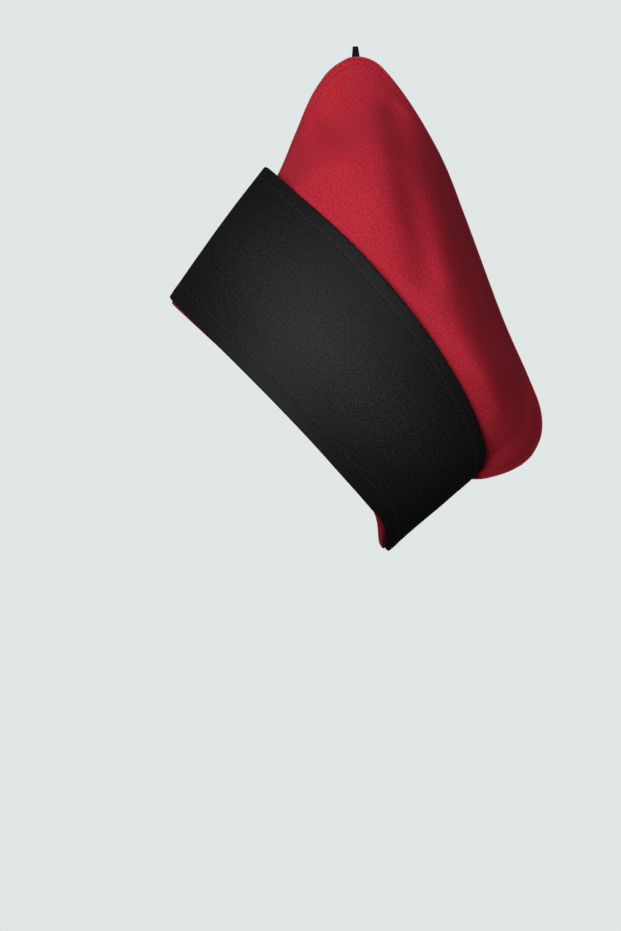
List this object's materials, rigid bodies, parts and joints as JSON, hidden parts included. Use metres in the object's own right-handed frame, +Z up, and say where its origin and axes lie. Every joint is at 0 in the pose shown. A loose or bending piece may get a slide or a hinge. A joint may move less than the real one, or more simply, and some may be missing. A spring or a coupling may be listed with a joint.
{
  "type": "chef cap",
  "caption": "Boat-shaped chef cap: soft red crown with a rounded front peak and a sloping ridge, inside a tall black stand-away cuff, open below for the head.",
  "frame": {"origin": "middle of the cap's box, on the surface that its rim stands on", "axes": "+Z up, -Y to the cap's front, +X to the wearer's left"},
  "size_m": [0.168, 0.2726, 0.1996],
  "materials": {
    "red_twill": "matt crimson gabardine, fine twill",
    "black_twill": "matt black gabardine over a stiffener, fine twill",
    "black_tape": "black woven tape"
  },
  "bodies": {
    "root": {"crown_left": "red_twill", "crown_right": "red_twill", "cuff_left": "black_twill", "cuff_right": "black_twill", "top_tab": "black_tape"}
  },
  "joints": []
}
